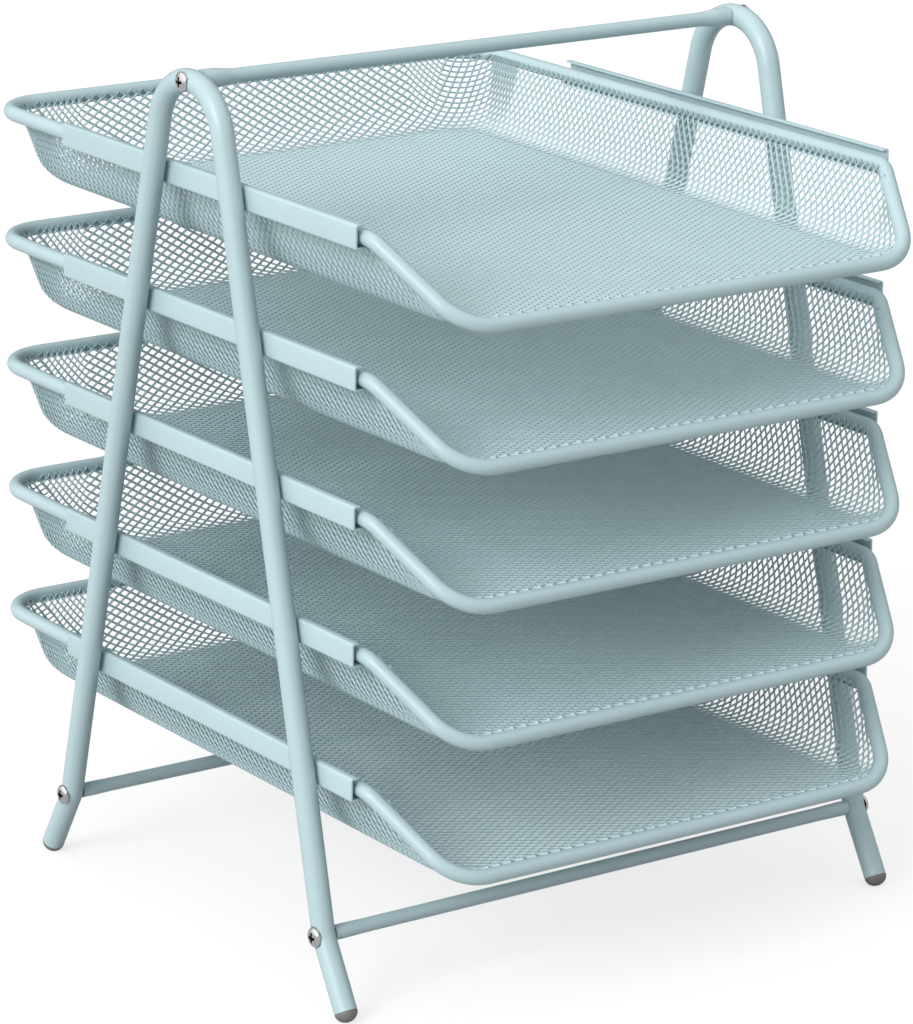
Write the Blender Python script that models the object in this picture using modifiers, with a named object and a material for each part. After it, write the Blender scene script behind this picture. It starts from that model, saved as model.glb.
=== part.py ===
"""Five-tier desk organizer: two bent tube side frames, folded rails and sliding mesh letter trays.

Metres, +Z up. The front faces -Y. The origin lies on the floor, under the middle of the overall box.
"""
import math

import bmesh
import bpy
from mathutils import Matrix, Vector

# Side frames: one bent round tube each
FRAME_SPACING = 0.299          # between the centre planes of the two tubes
FRAME_SETBACK = -0.0144        # middle of the frames, ahead of the middle of the trays
TUBE_RADIUS = 0.0052
TUBE_WALL = 0.0012
ARCH_HEIGHT = 0.3933           # tube centre at the top of the arch
ARCH_RADIUS = 0.0264
KINK_REACH = 0.1072            # tube centre from the frame's middle, at the lower cross bars
KINK_HEIGHT = 0.0343
KINK_RADIUS = 0.014
FOOT_REACH = 0.1276            # lower leg's centre line carried down to the floor
TUBE_END_HEIGHT = 0.0046       # centre of the tube's cut end above the floor

# Cross bars between the frames
TOP_BAR_RADIUS = 0.0033
TOP_BAR_FLARE = 0.0045
LOW_BAR_RADIUS = 0.0032
LOW_BAR_FLARE = 0.0034
FLARE_LENGTH = 0.018
FLARE_STEPS = ((0.0, 1.0), (0.35, 1.0), (0.7, 0.25), (1.0, 0.0))  # share of length, share of swelling
COPE_GRIP = 0.0035             # how far the coped bar ends reach round the tubes
COPE_CUT_HALF = 0.02           # half length of the cutter that copes them

# Screws through the tubes into the bars
HEAD_RADIUS = 0.0045
HEAD_HEIGHT = 0.0024
HEAD_EDGE = 0.0006             # upright edge under the dome
SHANK_RADIUS = 0.002
SEAT_DEPTH = 0.0010            # flat pressed into the tube under each head
SEAT_RADIUS = 0.0052
THREAD_DEPTH = 0.007           # shank inside the bar

# Foot plugs
PLUG_DOME = 0.0045
PLUG_STEM = 0.012
PLUG_DOME_STEPS = 4

# Rails: folded sheet channels, open towards the trays
RAIL_LENGTH = 0.239
RAIL_HEIGHT = 0.0110
RAIL_SHEET = 0.001
RAIL_TOP_FLANGE = 0.0035
RAIL_LOW_FLANGE = 0.0068
RAIL_FOLD = 0.0010
RAIL_FOLD_STEPS = 3
TOP_RAIL_LEVEL = 0.3416        # underside of the top pair
TIER_PITCH = 0.0609
TIERS = 5

# Tray rims: one closed wire each
RIM_RADIUS = 0.0035
RIM_HALF_WIDTH = 0.138         # wire centre from the middle
RIM_FRONT_HALF = 0.1194        # half width where the lines of the dips meet the front
RIM_FRONT = -0.1792
RIM_BACK = 0.1792
RIM_DIP_START = -0.1380        # where the side wire turns down and inwards
RIM_DROP = 0.0321              # front edge below the side wires
BACK_CORNER = 0.0234
DIP_CORNER = 0.012
FRONT_CORNER = 0.0234

# Mesh pans: one pressed sheet each
PAN_DEPTH = 0.0335             # floor below the side wires
PAN_FOLD = 0.017
PAN_LEAN = math.radians(15)    # walls lean out from upright
PAN_CORNER = 0.018
PAN_EDGE_INSIDE = 0.0046       # wall's upper edge inside the wire's centre
PAN_EDGE_RISE = 0.0005         # and above it
PAN_LIP = 0.0088               # floor's front edge behind the trimmed front edge
DIAMONDS_ACROSS = 5
DIAMONDS_DEEP = 8
STRAND_HALF_WIDTH = 0.0018
STRAND_THICKNESS = 0.0014
RIM_CLEARANCE = 0.0008         # between the sheet's middle and the wire's skin
SMALLEST_OPENING = 0.16        # cut cells under this share of a diamond stay closed
SHORTEST_EDGE = 0.0015         # shorter edges left by the trimming are merged
FOLD_SNAP = 0.002              # corners this near a fold line move onto it
TRIM_RAYS = 72
TRIM_START = 0.8               # share of the floor's half width that the trimming skips
TRIM_STEP = 0.0006
WIRE_SPACING = 0.002           # between the wire points that the trimming measures to

# Gap kept between pieces that touch
GAP = 0.0003
BORE_OVERRUN = 0.002           # cutter past the tube's cut ends
WELD = 0.00001

# Facets of the round pieces and steps of their bends
TUBE_SIDES_LEVEL = 4           # bevel resolution, 12 sides
WIRE_SIDES_LEVEL = 2           # bevel resolution, 8 sides
TURNED_STEPS = 12
COPE_SIDES = 24
HEAD_DOME_SHARES = (0.3, 0.6, 0.85, 1.0)
ARCH_STEPS = 9
KINK_STEPS = 2
BACK_STEPS = 4
DIP_STEPS = 2
FRONT_STEPS = 5

# Paints and other finishes
MINT = (0.52, 0.71, 0.71, 1.0)
PALE_MINT = (0.58, 0.76, 0.76, 1.0)
CHROME = (0.78, 0.79, 0.80, 1.0)
GREY = (0.10, 0.10, 0.105, 1.0)


def clear_scene():
    for item in list(bpy.data.objects):
        bpy.data.objects.remove(item, do_unlink=True)


def new_collection(name):
    group = bpy.data.collections.new(name)
    bpy.context.scene.collection.children.link(group)
    return group


def new_material(name, colour, roughness, metallic):
    material = bpy.data.materials.new(name)
    material.use_nodes = True
    shader = material.node_tree.nodes["Principled BSDF"]
    shader.inputs["Base Color"].default_value = colour
    shader.inputs["Roughness"].default_value = roughness
    shader.inputs["Metallic"].default_value = metallic
    return material


clear_scene()
PARTS = new_collection("mesh_desk_organizer")
CUTTERS = new_collection("cutters")
TUBE_PAINT = new_material("tube_paint", MINT, 0.35, 0.0)
RAIL_PAINT = new_material("rail_paint", PALE_MINT, 0.40, 0.0)
WIRE_PAINT = new_material("wire_paint", MINT, 0.35, 0.0)
MESH_PAINT = new_material("mesh_paint", MINT, 0.45, 0.0)
SCREW_CHROME = new_material("screw_chrome", CHROME, 0.15, 1.0)
PLUG_PLASTIC = new_material("plug_plastic", GREY, 0.55, 0.0)


def place(name, data, material=None, parent=None, group=PARTS):
    item = bpy.data.objects.new(name, data)
    group.objects.link(item)
    if material:
        data.materials.append(material)
    item.parent = parent
    return item


def smooth(mesh, angle=math.radians(40)):
    mesh.shade_smooth()
    mesh.set_sharp_from_angle(angle=angle)


def as_cutter(item):
    item.hide_render = True
    item.display_type = "WIRE"
    return item


def cut(item, cutter):
    difference = item.modifiers.new("cut_" + cutter.name, "BOOLEAN")
    difference.operation = "DIFFERENCE"
    difference.object = cutter


def arc_between(before, corner, after, radius, steps):
    """Points of the arc that rounds a corner between two straight runs."""
    first = (before - corner).normalized()
    second = (after - corner).normalized()
    half = first.angle(second) / 2
    centre = corner + (first + second).normalized() * radius / math.sin(half)
    start = corner + first * radius / math.tan(half) - centre
    end = corner + second * radius / math.tan(half) - centre
    sweep = start.angle(end)
    points = []
    for step in range(steps + 1):
        share = step / steps
        weight = math.sin((1 - share) * sweep) * start + math.sin(share * sweep) * end
        points.append(centre + weight / math.sin(sweep))
    return points


def tube_curve(name, points, radius, sides_level, closed=False, radii=None):
    """Curve object of round section through the points."""
    data = bpy.data.curves.new(name, "CURVE")
    data.dimensions = "3D"
    data.bevel_depth = radius
    data.bevel_resolution = sides_level
    data.use_fill_caps = not closed
    spline = data.splines.new("POLY")
    spline.points.add(len(points) - 1)
    for index, point in enumerate(points):
        spline.points[index].co = (*point, 1.0)
        if radii:
            spline.points[index].radius = radii[index] / radius
    spline.use_cyclic_u = closed
    return data


def tube_mesh(name, points, radius, sides_level, radii=None):
    """Closed mesh of the same tube, for pieces that are cut."""
    curve = tube_curve(name, points, radius, sides_level, False, radii)
    holder = bpy.data.objects.new(name + "_path", curve)
    CUTTERS.objects.link(holder)
    bpy.context.view_layer.update()
    shape = holder.evaluated_get(bpy.context.evaluated_depsgraph_get())
    mesh = bpy.data.meshes.new_from_object(shape)
    bpy.data.objects.remove(holder, do_unlink=True)
    welded = bmesh.new()
    welded.from_mesh(mesh)
    bmesh.ops.remove_doubles(welded, verts=welded.verts, dist=WELD)
    bmesh.ops.recalc_face_normals(welded, faces=welded.faces)
    welded.to_mesh(mesh)
    welded.free()
    smooth(mesh)
    return mesh


def cylinder_cutter(name, radius, start, end, segments=12):
    """Cylinder between two points, used only for cutting."""
    shape = bmesh.new()
    bmesh.ops.create_cone(shape, cap_ends=True, segments=segments, radius1=radius, radius2=radius,
                          depth=(end - start).length)
    mesh = bpy.data.meshes.new(name)
    shape.to_mesh(mesh)
    shape.free()
    item = place(name, mesh, group=CUTTERS)
    item.location = (start + end) / 2
    item.rotation_mode = "QUATERNION"
    item.rotation_quaternion = Vector((0, 0, 1)).rotation_difference(end - start)
    return as_cutter(item)


def turned(name, profile, material):
    """Solid of revolution about local Z, from a profile that runs down its outer side."""
    mesh = bpy.data.meshes.new(name)
    edges = [(index, index + 1) for index in range(len(profile) - 1)]
    mesh.from_pydata([(radius, 0.0, height) for radius, height in profile], edges, [])
    item = place(name, mesh, material)
    screw = item.modifiers.new("turn", "SCREW")
    screw.steps = TURNED_STEPS
    screw.render_steps = TURNED_STEPS
    screw.use_merge_vertices = True
    screw.merge_threshold = WELD
    return item


# Side frame: its centre line, shared by both sides
def leg_lean():
    """Angle from upright of the legs, which run from the kinks tangent to the arch."""
    rise = ARCH_HEIGHT - ARCH_RADIUS - KINK_HEIGHT
    reach = math.hypot(KINK_REACH, rise)
    return math.acos(ARCH_RADIUS / reach) - math.atan2(rise, KINK_REACH)


def lower_leg(front):
    """Unit vector down the leg below its kink."""
    return Vector((0, front * (KINK_REACH - FOOT_REACH), -KINK_HEIGHT)).normalized()


def kink_point(side, front):
    return Vector((side * FRAME_SPACING / 2, FRAME_SETBACK - front * KINK_REACH, KINK_HEIGHT))


def tube_end(side, front):
    """Centre of the tube's open lower end."""
    down = lower_leg(front)
    return kink_point(side, front) + down * (KINK_HEIGHT - TUBE_END_HEIGHT) / -down.z


def arch_point(side):
    return Vector((side * FRAME_SPACING / 2, FRAME_SETBACK, ARCH_HEIGHT))


def frame_path(side, overrun=0.0):
    """Centre line from the front foot over the arch to the rear foot."""
    lean = leg_lean()
    apex = arch_point(side) + Vector((0, 0, ARCH_RADIUS / math.sin(lean) - ARCH_RADIUS))
    front_end = tube_end(side, 1) + lower_leg(1) * overrun
    rear_end = tube_end(side, -1) + lower_leg(-1) * overrun
    front_kink = kink_point(side, 1)
    rear_kink = kink_point(side, -1)
    path = [front_end]
    path += arc_between(front_end, front_kink, apex, KINK_RADIUS, KINK_STEPS)
    path += arc_between(front_kink, apex, rear_kink, ARCH_RADIUS, ARCH_STEPS)
    path += arc_between(apex, rear_kink, rear_end, KINK_RADIUS, KINK_STEPS)
    path.append(rear_end)
    return path


def side_word(side):
    return "left" if side < 0 else "right"


def joint_points(side):
    """Where a cross bar meets the tube, and the tube's direction there."""
    lean = leg_lean()
    points = {"top": (arch_point(side), Vector((0, 1, 0)))}
    for front, word in ((1, "front"), (-1, "rear")):
        upper = Vector((0, -front * math.sin(lean), -math.cos(lean)))
        points[word] = (kink_point(side, front), (upper + lower_leg(front)).normalized())
    return points


def side_frame(side):
    """Hollow bent tube with a pressed seat and a hole for each screw."""
    name = "side_frame_" + side_word(side)
    outer = tube_mesh(name, frame_path(side), TUBE_RADIUS, TUBE_SIDES_LEVEL)
    frame = place(name, outer, TUBE_PAINT)
    longer = frame_path(side, overrun=BORE_OVERRUN)
    bore = tube_mesh(name + "_bore", longer, TUBE_RADIUS - TUBE_WALL, TUBE_SIDES_LEVEL)
    cut(frame, as_cutter(place(name + "_bore", bore, group=CUTTERS)))
    outward = Vector((side, 0, 0))
    for word, (point, _) in joint_points(side).items():
        seat = point + outward * (TUBE_RADIUS - SEAT_DEPTH)
        outside = point + outward * 2 * TUBE_RADIUS
        inside = point - outward * 2 * TUBE_RADIUS
        cut(frame, cylinder_cutter(name + "_seat_" + word, SEAT_RADIUS, seat, outside))
        cut(frame, cylinder_cutter(name + "_hole_" + word, SHANK_RADIUS + GAP, inside, outside))
    return frame


def screw(side, word):
    """Domed screw from outside the tube into the end of a bar."""
    point, _ = joint_points(side)[word]
    shank = TUBE_RADIUS - SEAT_DEPTH + GAP + TUBE_RADIUS + GAP + THREAD_DEPTH
    profile = [(0.0, HEAD_HEIGHT)]
    for share in HEAD_DOME_SHARES:
        rise = math.sqrt(1 - share ** 2)
        profile.append((HEAD_RADIUS * share, HEAD_EDGE + (HEAD_HEIGHT - HEAD_EDGE) * rise))
    profile += [(HEAD_RADIUS, 0.0), (SHANK_RADIUS, 0.0), (SHANK_RADIUS, -shank), (0.0, -shank)]
    item = turned("screw_%s_%s" % (side_word(side), word), profile, SCREW_CHROME)
    item.location = point + Vector((side * (TUBE_RADIUS - SEAT_DEPTH + GAP), 0, 0))
    item.rotation_euler = (0, side * math.pi / 2, 0)
    return item


def cross_bar(word, radius, flare):
    """Round bar between the frames: flared ends coped round the tubes, with a hole for each screw."""
    left, direction = joint_points(-1)[word]
    right, _ = joint_points(1)[word]
    reach = TUBE_RADIUS - COPE_GRIP + GAP
    along = Vector((1, 0, 0))
    runs = [FLARE_LENGTH * share for share, _ in FLARE_STEPS]
    swell = [radius + (flare - radius) * share for _, share in FLARE_STEPS]
    points = [left + along * (reach + run) for run in runs]
    points += [right - along * (reach + run) for run in runs[::-1]]
    name = word + "_cross_bar"
    bar = place(name, tube_mesh(name, points, radius, TUBE_SIDES_LEVEL, swell + swell[::-1]), TUBE_PAINT)
    for side, point in ((-1, left), (1, right)):
        end = name + "_" + side_word(side)
        cope = direction * COPE_CUT_HALF
        cut(bar, cylinder_cutter(end + "_cope", TUBE_RADIUS + GAP, point - cope, point + cope, COPE_SIDES))
        hole_floor = point - Vector((side * (TUBE_RADIUS + THREAD_DEPTH + 2 * GAP), 0, 0))
        cut(bar, cylinder_cutter(end + "_hole", SHANK_RADIUS + GAP, point, hole_floor))
    return bar


def foot_plug(side, front, floor_cut):
    """Domed plug in the end of a leg, cut flat where it stands."""
    profile = [(0.0, PLUG_DOME)]
    for step in range(1, PLUG_DOME_STEPS + 1):
        angle = math.pi / 2 * step / PLUG_DOME_STEPS
        profile.append((TUBE_RADIUS * math.sin(angle), PLUG_DOME * math.cos(angle)))
    stem = TUBE_RADIUS - TUBE_WALL - GAP
    profile += [(stem, 0.0), (stem, -PLUG_STEM), (0.0, -PLUG_STEM)]
    name = "foot_%s_%s" % (side_word(side), "front" if front > 0 else "rear")
    plug = turned(name, profile, PLUG_PLASTIC)
    down = lower_leg(front)
    plug.location = tube_end(side, front) + down * GAP
    plug.rotation_mode = "QUATERNION"
    plug.rotation_quaternion = Vector((0, 0, 1)).rotation_difference(down)
    cut(plug, floor_cut)
    return plug


def floor_cutter():
    shape = bmesh.new()
    bmesh.ops.create_cube(shape, size=1.0, matrix=Matrix.Translation((0, 0, -0.5)))
    mesh = bpy.data.meshes.new("floor_cut")
    shape.to_mesh(mesh)
    shape.free()
    return as_cutter(place("floor_cut", mesh, group=CUTTERS))


# Rails
def rail_level(tier):
    return TOP_RAIL_LEVEL - tier * TIER_PITCH


def rail_profile():
    """Closed outline of the folded channel: x inwards from the outer face, y up from the underside."""
    fold = []
    for step in range(RAIL_FOLD_STEPS + 1):
        angle = math.pi / 2 * step / RAIL_FOLD_STEPS
        fold.append((RAIL_FOLD * (1 - math.sin(angle)), RAIL_FOLD * (1 - math.cos(angle))))
    ceiling = RAIL_HEIGHT - RAIL_SHEET
    outline = [(RAIL_LOW_FLANGE, 0.0)] + fold
    outline += [(x, RAIL_HEIGHT - y) for x, y in fold[::-1]] + [(RAIL_TOP_FLANGE, RAIL_HEIGHT)]
    outline += [(RAIL_TOP_FLANGE, ceiling), (RAIL_SHEET, ceiling), (RAIL_SHEET, RAIL_SHEET)]
    return outline + [(RAIL_LOW_FLANGE, RAIL_SHEET)]


def rail(side, tier):
    """Channel against the inside of a side frame's legs."""
    name = "rail_%s_%d" % (side_word(side), tier + 1)
    data = bpy.data.curves.new(name, "CURVE")
    data.dimensions = "2D"
    data.fill_mode = "BOTH"
    data.extrude = RAIL_LENGTH / 2
    outline = [(-side * x, y) for x, y in rail_profile()]
    spline = data.splines.new("POLY")
    spline.points.add(len(outline) - 1)
    for point, (x, y) in zip(spline.points, outline):
        point.co = (x, y, 0.0, 1.0)
    spline.use_cyclic_u = True
    item = place(name, data, RAIL_PAINT)
    face = FRAME_SPACING / 2 - TUBE_RADIUS - GAP
    item.location = (side * face, FRAME_SETBACK, rail_level(tier))
    item.rotation_euler = (math.pi / 2, 0, 0)
    return item


# Trays: everything below is measured from the slide empty, at the side wires' level
def rim_path():
    """Closed centre line of the rim wire."""
    corners = []
    for side in (-1, 1):
        back = Vector((side * RIM_HALF_WIDTH, RIM_BACK, 0))
        dip = Vector((side * RIM_HALF_WIDTH, RIM_DIP_START, 0))
        front = Vector((side * RIM_FRONT_HALF, RIM_FRONT, -RIM_DROP))
        corners.append((back, dip, front))
    (back_l, dip_l, front_l), (back_r, dip_r, front_r) = corners
    path = arc_between(back_r, back_l, dip_l, BACK_CORNER, BACK_STEPS)
    path += arc_between(back_l, dip_l, front_l, DIP_CORNER, DIP_STEPS)
    path += arc_between(dip_l, front_l, front_r, FRONT_CORNER, FRONT_STEPS)
    path += arc_between(front_l, front_r, dip_r, FRONT_CORNER, FRONT_STEPS)
    path += arc_between(front_r, dip_r, back_r, DIP_CORNER, DIP_STEPS)
    path += arc_between(dip_r, back_r, back_l, BACK_CORNER, BACK_STEPS)
    return path


def wall_run(distance):
    """Outward offset and rise of the pressed wall, at a distance along the sheet from the floor's edge."""
    turn = math.pi / 2 - PAN_LEAN
    angle = min(max(distance, 0.0) / PAN_FOLD, turn)
    rest = distance - angle * PAN_FOLD
    if distance < 0:
        return distance, 0.0
    offset = PAN_FOLD * math.sin(angle) + rest * math.sin(PAN_LEAN)
    rise = PAN_FOLD * (1 - math.cos(angle)) + rest * math.cos(PAN_LEAN)
    return offset, rise


def wall_length():
    """Distance along the sheet from the floor's edge to the wall's upper edge."""
    turn = math.pi / 2 - PAN_LEAN
    rise = PAN_DEPTH + PAN_EDGE_RISE - PAN_FOLD * (1 - math.sin(PAN_LEAN))
    return PAN_FOLD * turn + rise / math.cos(PAN_LEAN)


WALL_LENGTH = wall_length()
WALL_OFFSET = wall_run(WALL_LENGTH)[0]
FLOOR_HALF = RIM_HALF_WIDTH - PAN_EDGE_INSIDE - WALL_OFFSET
FLOOR_BACK = RIM_BACK - PAN_EDGE_INSIDE - WALL_OFFSET
FLOOR_FRONT = RIM_FRONT + RIM_RADIUS + RIM_CLEARANCE + PAN_LIP


def press(x, y):
    """Place of a point of the flat sheet once the walls are pressed up."""
    near_front = y < (FLOOR_FRONT + FLOOR_BACK) / 2
    across = abs(x) - FLOOR_HALF + PAN_CORNER
    along = (FLOOR_FRONT - y if near_front else y - FLOOR_BACK) + PAN_CORNER
    if abs(across - along) < PAN_CORNER and across + along > PAN_CORNER:
        level = (across + along - math.sqrt(2 * PAN_CORNER ** 2 - (across - along) ** 2)) / 2
    else:
        level = max(across, along) - PAN_CORNER
    offset, rise = wall_run(level)
    if level > 0:
        across += offset - level if across > level else (offset - level) * max(across, 0.0) / level
        along += offset - level if along > level else (offset - level) * max(along, 0.0) / level
    pressed_x = math.copysign(across + FLOOR_HALF - PAN_CORNER, x)
    reach = along - PAN_CORNER
    pressed_y = FLOOR_FRONT - reach if near_front else FLOOR_BACK + reach
    return Vector((pressed_x, pressed_y, rise - PAN_DEPTH))


def above_rim(spot):
    """Height of a point over the side wires, or over the sloping plane of the dips where that is lower."""
    slope = math.atan2(RIM_DROP, RIM_DIP_START - RIM_FRONT)
    over_slope = (RIM_DIP_START - spot.y) * math.sin(slope) + spot.z * math.cos(slope)
    return max(spot.z, over_slope)


def trim_point(angle, wire):
    """Where the flat sheet is cut on a ray from the floor's middle, to end beside or short of the wire."""
    middle = Vector((0, (FLOOR_FRONT + FLOOR_BACK) / 2))
    ray = Vector((math.cos(angle), math.sin(angle)))
    limit = RIM_RADIUS + RIM_CLEARANCE
    point = middle + ray * FLOOR_HALF * TRIM_START
    while True:
        spot = press(*point)
        near = min((spot - other).length for other in wire)
        if near < limit or above_rim(spot) > PAN_EDGE_RISE or spot.y < RIM_FRONT:
            return point - ray * TRIM_STEP
        point = point + ray * TRIM_STEP


def dense(path, spacing=WIRE_SPACING):
    """The closed path with points at an even, close spacing."""
    points = []
    for start, end in zip(path, path[1:] + path[:1]):
        count = max(1, int((end - start).length / spacing))
        points += [start.lerp(end, index / count) for index in range(count)]
    return points


def sheet_outline(wire):
    """Points round the edge of the flat sheet, one on each ray."""
    spots = dense(wire)
    angles = [2 * math.pi * (index + 0.5) / TRIM_RAYS for index in range(TRIM_RAYS)]
    return [trim_point(angle, spots) for angle in angles]


def straight_cuts(points):
    """Cuts along the outline's convex hull, each moved in to the outline's deepest point under it."""
    shape = bmesh.new()
    verts = [shape.verts.new((point.x, point.y, 0)) for point in points]
    hull = bmesh.ops.convex_hull(shape, input=verts)
    inside = set(hull["geom_interior"]) | set(hull["geom_unused"])
    corners = [index for index, vert in enumerate(verts) if vert not in inside]
    shape.free()
    cuts = []
    for first, last in zip(corners, corners[1:] + [corners[0] + len(points)]):
        start = points[first]
        along = points[last % len(points)] - start
        outward = Vector((along.y, -along.x)).normalized()
        under = [points[index % len(points)] for index in range(first, last + 1)]
        inset = max((start - point).dot(outward) for point in under)
        cuts.append((start - outward * inset, outward))
    return cuts


def pan_sheet():
    """Flat diamond lattice cut to the outline, opened, then pressed into the pan."""
    outline = sheet_outline(rim_path())
    half = max(abs(point.x) for point in outline)
    low = min(point.y for point in outline)
    high = max(point.y for point in outline)
    diamond_width = 2 * half / DIAMONDS_ACROSS
    diamond_depth = (high - low) / DIAMONDS_DEEP
    cells = 2 * max(DIAMONDS_ACROSS, DIAMONDS_DEEP)
    sheet = bmesh.new()
    turn = Matrix.Rotation(math.pi / 4, 4, "Z")
    stretch = Matrix.Diagonal((diamond_width, diamond_depth, 1, 1))
    centre = Matrix.Translation((0, (low + high) / 2, 0))
    bmesh.ops.create_grid(sheet, x_segments=cells, y_segments=cells, size=cells / (2 * math.sqrt(2)),
                          matrix=centre @ stretch @ turn)
    for place_on, outward in straight_cuts(outline):
        every = sheet.verts[:] + sheet.edges[:] + sheet.faces[:]
        bmesh.ops.bisect_plane(sheet, geom=every, plane_co=(*place_on, 0), plane_no=(*outward, 0),
                               clear_outer=True)
    bmesh.ops.dissolve_degenerate(sheet, edges=sheet.edges, dist=SHORTEST_EDGE)
    full = diamond_width * diamond_depth / 2
    opened = [face for face in sheet.faces if face.calc_area() > SMALLEST_OPENING * full]
    bmesh.ops.inset_individual(sheet, faces=opened, thickness=STRAND_HALF_WIDTH, use_even_offset=True)
    holes = set(opened)
    weights = sheet.verts.layers.deform.verify()
    for vert in sheet.verts:
        vert[weights][0] = 0.0 if holes & set(vert.link_faces) else 1.0
    bmesh.ops.delete(sheet, geom=opened, context="FACES_ONLY")
    for position, direction in (((FLOOR_HALF, 0, 0), (1, 0, 0)), ((-FLOOR_HALF, 0, 0), (1, 0, 0)),
                                ((0, FLOOR_BACK, 0), (0, 1, 0))):
        every = sheet.verts[:] + sheet.edges[:] + sheet.faces[:]
        bmesh.ops.bisect_plane(sheet, geom=every, plane_co=position, plane_no=direction, dist=FOLD_SNAP)
    for vert in sheet.verts:
        vert.co = press(vert.co.x, vert.co.y)
    mesh = bpy.data.meshes.new("tray_mesh")
    sheet.to_mesh(mesh)
    sheet.free()
    return mesh


def tray(tier, rim_data, sheet):
    """Rim wire and mesh pan under one empty, which slides along -Y."""
    slide = bpy.data.objects.new("tray_slide_%d" % (tier + 1), None)
    PARTS.objects.link(slide)
    slide.location = (0, 0, rail_level(tier) + RAIL_SHEET + GAP + RIM_RADIUS)
    place("tray_rim_%d" % (tier + 1), rim_data, parent=slide)
    pan = place("tray_mesh_%d" % (tier + 1), sheet, parent=slide)
    pan.vertex_groups.new(name="ridge")
    wall = pan.modifiers.new("strand", "SOLIDIFY")
    wall.thickness = STRAND_THICKNESS
    wall.offset = 0.0
    wall.vertex_group = "ridge"
    wall.thickness_vertex_group = 0.0
    weld = pan.modifiers.new("close_holes", "WELD")
    weld.merge_threshold = 2 * WELD


def main():
    floor_cut = floor_cutter()
    for side in (-1, 1):
        side_frame(side)
        for word in ("top", "front", "rear"):
            screw(side, word)
        for front in (1, -1):
            foot_plug(side, front, floor_cut)
        for tier in range(TIERS):
            rail(side, tier)
    cross_bar("top", TOP_BAR_RADIUS, TOP_BAR_FLARE)
    cross_bar("front", LOW_BAR_RADIUS, LOW_BAR_FLARE)
    cross_bar("rear", LOW_BAR_RADIUS, LOW_BAR_FLARE)
    rim_data = tube_curve("tray_rim", rim_path(), RIM_RADIUS, WIRE_SIDES_LEVEL, closed=True)
    rim_data.materials.append(WIRE_PAINT)
    sheet = pan_sheet()
    sheet.materials.append(MESH_PAINT)
    for tier in range(TIERS):
        tray(tier, rim_data, sheet)


main()
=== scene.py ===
"""Looks of a five-tier mesh letter tray organizer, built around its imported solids.

Every piece is modelled in metres in the frame of the solids: +Z up, the front faces -Y.
"""

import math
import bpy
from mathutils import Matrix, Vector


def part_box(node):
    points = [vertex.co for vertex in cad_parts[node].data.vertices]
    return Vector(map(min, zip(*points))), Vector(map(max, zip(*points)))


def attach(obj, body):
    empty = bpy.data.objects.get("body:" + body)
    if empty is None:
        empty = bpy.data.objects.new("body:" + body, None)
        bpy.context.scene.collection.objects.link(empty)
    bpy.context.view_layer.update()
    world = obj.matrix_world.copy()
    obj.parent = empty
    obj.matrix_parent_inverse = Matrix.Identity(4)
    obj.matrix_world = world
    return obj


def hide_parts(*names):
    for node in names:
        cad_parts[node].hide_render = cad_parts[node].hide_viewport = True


bl_info = {
    "name": "Mesh desk organizer",
    "version": (1, 0, 0),
    "blender": (4, 5, 0),
    "location": "View3D > Sidebar > Organizer",
    "description": "Models the tubes, rails, wires, mesh pans, screws and feet of a letter tray organizer",
    "category": "Object",
}

import bpy
import numpy as np
from mathutils import Matrix, Vector

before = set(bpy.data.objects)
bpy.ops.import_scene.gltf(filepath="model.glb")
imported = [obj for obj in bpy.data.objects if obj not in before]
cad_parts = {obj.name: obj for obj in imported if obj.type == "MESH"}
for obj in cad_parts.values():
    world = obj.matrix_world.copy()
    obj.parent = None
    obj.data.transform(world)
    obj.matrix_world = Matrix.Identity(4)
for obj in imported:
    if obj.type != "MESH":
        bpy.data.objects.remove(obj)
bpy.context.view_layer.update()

TIERS = range(1, 6)
SIDES = {"left": -1, "right": 1}
JOINTS = ("top", "front", "rear")

# Fits, in metres
NEAR = 1e-5                    # places this close are one place
MERGE_GAP = 5e-6               # doubled vertices lie closer than this
FLOOR_CUT = 1e-6               # how exactly a plug is cut off at the floor
JOINT_GAP = 0.0002             # air in a coped joint, and round a plug
SEAT_GAP = 0.0007              # air round a screw head in its pressed seat
HEAD_LIFT = 0.0001             # air under a screw head
COPE_REACH = 0.02              # half the length of the drill that copes a bar

# How finely the round pieces are divided
TUBE_SIDES, TUBE_BEND_STEP = 32, math.radians(5)
WIRE_SIDES, WIRE_BEND_STEP = 24, math.radians(6)
BAR_SIDES, COPE_SIDES, FLARE_RINGS = 28, 48, 8
HEAD_SIDES, HEAD_RINGS = 32, 9
PLUG_SIDES, PLUG_RINGS = 32, 10
FOLD_SEGMENTS, EDGE_SEGMENTS = 6, 2

# Bars, screws, plugs and rails
BAR_START = 0.97               # where a bar starts, in tube radii from the tube's centre
FLARE_FLAT = 0.25              # share of a flare that keeps its full width
SHANK_LENGTH = 0.004           # length of a screw's shank that is made
SHANK_SHARE = 0.44             # its radius, in head radii
HEAD_EDGE = 0.28               # height of a screw head's rim, in head heights
RECESS_LONG = 1.45             # length of a recess wing, in head radii
RECESS_WIDE = 0.40             # its width, in head radii
RECESS_DEEP = 1.4              # its depth, in head heights, half of it above the dome
RECESS_TAPER = 0.5             # size of its bottom to its mouth
RECESS_SHADE = 0.0003          # depth below the dome where the painted shade of a recess starts
RECESS_REACH = 0.85            # how far out the painted shade of a recess reaches, in head radii
RECESS_SHADE_TONE = 0.14             # brightness of the plating in a recess, dimmed as painted shade
PLUG_STUB = 0.010              # length of a plug inside the tube
EDGE_ROUND = 0.22              # rounding of a rail's cut edges, in sheet thicknesses

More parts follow.
